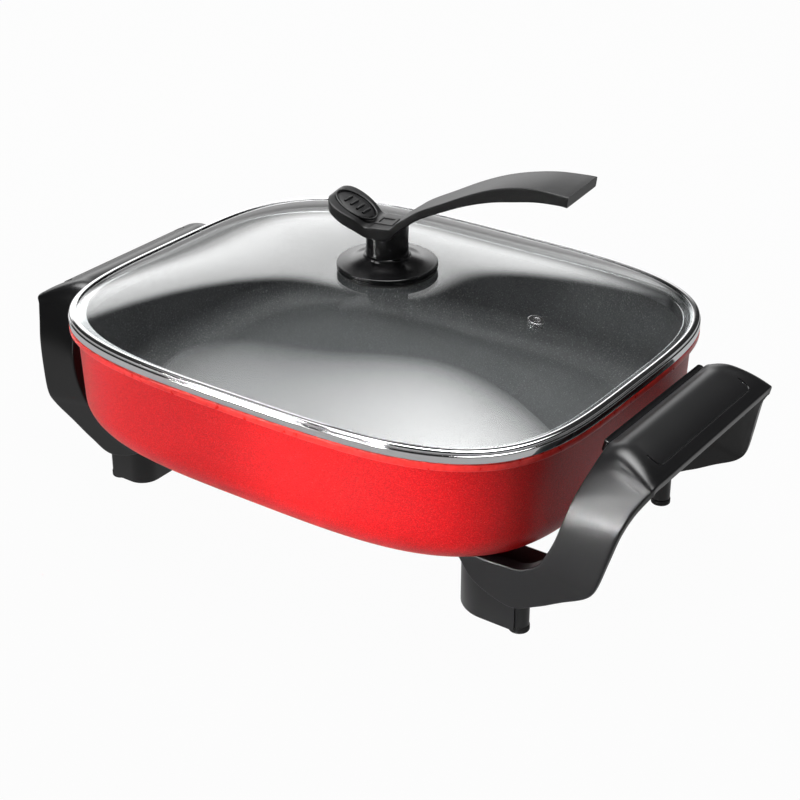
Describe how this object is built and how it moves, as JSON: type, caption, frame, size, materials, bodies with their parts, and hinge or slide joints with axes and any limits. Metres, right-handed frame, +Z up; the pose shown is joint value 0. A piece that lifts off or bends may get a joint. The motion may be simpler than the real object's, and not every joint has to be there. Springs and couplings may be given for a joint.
{
  "type": "electric skillet",
  "caption": "Rectangular electric skillet with a red enamelled pan, black leg-and-handle mouldings, a domed glass lid with a steel rim, and a lever knob; the lid lifts off.",
  "frame": {"origin": "on the counter, under the middle of the skillet's overall outline", "axes": "+X toward the right handle, -Y toward the long side that faces the user, +Z up"},
  "size_m": [0.4558, 0.297, 0.2269],
  "materials": {
    "enamel": "red textured enamel outside, dark non-stick coating inside",
    "sheath": "heat-darkened sheath",
    "pin_steel": "nickel-plated",
    "porcelain": "unglazed",
    "bright_steel": "satin",
    "pressed_steel": "pressed, satin",
    "screw_steel": "zinc-plated",
    "handle_plastic": "heat-resistant black moulding, satin gloss",
    "trim_plastic": "fine matte black",
    "washer_steel": "plain",
    "foot_rubber": "matte",
    "lid_glass": "clear tempered",
    "rim_steel": "polished stainless",
    "gasket_rubber": "matte",
    "knob_plastic": "black moulding, satin gloss"
  },
  "bodies": {
    "base": {"pan_body": "enamel", "heating_element": "sheath", "terminal_pins": "pin_steel", "pin_insulators": "porcelain", "probe_sleeve": "bright_steel", "inlet_guard": "pressed_steel", "guard_screws": "screw_steel", "handle_right": "handle_plastic", "handle_left": "handle_plastic", "grip_bar_right": "trim_plastic", "grip_bar_left": "trim_plastic", "heat_washers": "washer_steel", "handle_screws": "screw_steel", "foot_front_right": "foot_rubber", "foot_rear_right": "foot_rubber", "foot_front_left": "foot_rubber", "foot_rear_left": "foot_rubber"},
    "lid": {"lid_glass": "lid_glass", "lid_rim": "rim_steel", "knob_gasket": "gasket_rubber", "knob_base": "knob_plastic", "knob_lever": "knob_plastic", "thumb_inlay": "trim_plastic", "lever_screw": "screw_steel", "screw_cap": "trim_plastic", "knob_screw": "screw_steel", "inner_washer": "washer_steel", "inner_gasket": "gasket_rubber", "vent_eyelet": "rim_steel"}
  },
  "joints": [
    {"name": "lid_lift", "type": "slide", "parent": "base", "child": "lid", "axis": [0, 0, 1], "range_m": [0, 0.18]}
  ]
}
